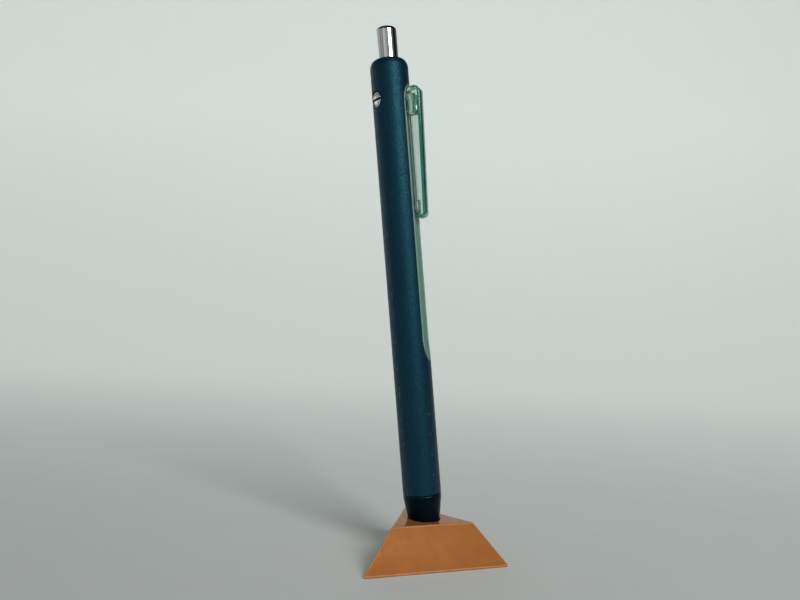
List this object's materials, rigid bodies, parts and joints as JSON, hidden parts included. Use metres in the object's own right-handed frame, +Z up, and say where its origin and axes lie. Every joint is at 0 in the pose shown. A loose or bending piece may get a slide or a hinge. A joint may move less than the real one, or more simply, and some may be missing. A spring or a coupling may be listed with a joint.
{
  "type": "pen holder",
  "caption": "Low triangular stand with a leaning socket, and the push-button ballpoint pen with a clear pocket clip that stands in it.",
  "frame": {"origin": "centre of the holder's base, on the surface that it stands on", "axes": "+Z up, one side of the holder faces -Y, the pen leans towards -X"},
  "size_m": [0.04, 0.0348, 0.1442],
  "materials": {
    "copper_print": "satin printed",
    "petrol_satin": "fine grained satin",
    "navy_satin": "satin",
    "sleeve_brass": "turned",
    "button_chrome": "polished",
    "plunger_plastic": "moulded",
    "rotor_plastic": "moulded",
    "tube_steel": "drawn",
    "crown_plastic": "moulded",
    "tip_brass": "turned",
    "ball_carbide": "ground",
    "spring_steel": "drawn wire",
    "clip_clear_green": "clear, green tint",
    "screw_chrome": "polished"
  },
  "bodies": {
    "holder": {"holder_body": "copper_print"},
    "pen": {"barrel": "petrol_satin", "nose_cone": "navy_satin", "guide_sleeve": "sleeve_brass", "side_screw": "screw_chrome", "return_spring": "spring_steel"},
    "button": {"push_button": "button_chrome", "plunger": "plunger_plastic"},
    "refill": {"refill_tube": "tube_steel", "refill_crown": "crown_plastic", "refill_tip": "tip_brass", "writing_ball": "ball_carbide"},
    "rotor": {"cam_rotor": "rotor_plastic"},
    "clip": {"clip": "clip_clear_green"}
  },
  "joints": [
    {"name": "pen_lift", "type": "slide", "parent": "holder", "child": "pen", "axis": [-0.1162, 0.0366, 0.9925], "range_m": [0, 0.025]},
    {"name": "button_press", "type": "slide", "parent": "pen", "child": "button", "axis": [0.1162, -0.0366, -0.9925], "range_m": [0, 0.0045], "stiffness_N_per_m": 300, "springref_m": -0.005},
    {"name": "refill_feed", "type": "slide", "parent": "pen", "child": "refill", "axis": [0.1162, -0.0366, -0.9925], "range_m": [0, 0.0045], "deforming": ["return_spring"]},
    {"name": "rotor_turn", "type": "hinge", "parent": "refill", "child": "rotor", "pos_m": [0, 0, 0.01107], "axis": [-0.1162, 0.0366, 0.9925], "range_deg": [0, 45]},
    {"name": "clip_flex", "type": "hinge", "parent": "pen", "child": "clip", "pos_m": [-0.00957, 0.00133, 0.12274], "axis": [-0.6227, -0.7812, -0.0441], "range_deg": [0, 3], "stiffness_Nm_per_rad": 0.8, "springref_deg": -1.15}
  ],
  "couplings": [
    {"joint": "refill_feed", "follows": "button_press", "ratio": 1},
    {"joint": "rotor_turn", "follows": "button_press", "rad_per_m": 174.53}
  ]
}
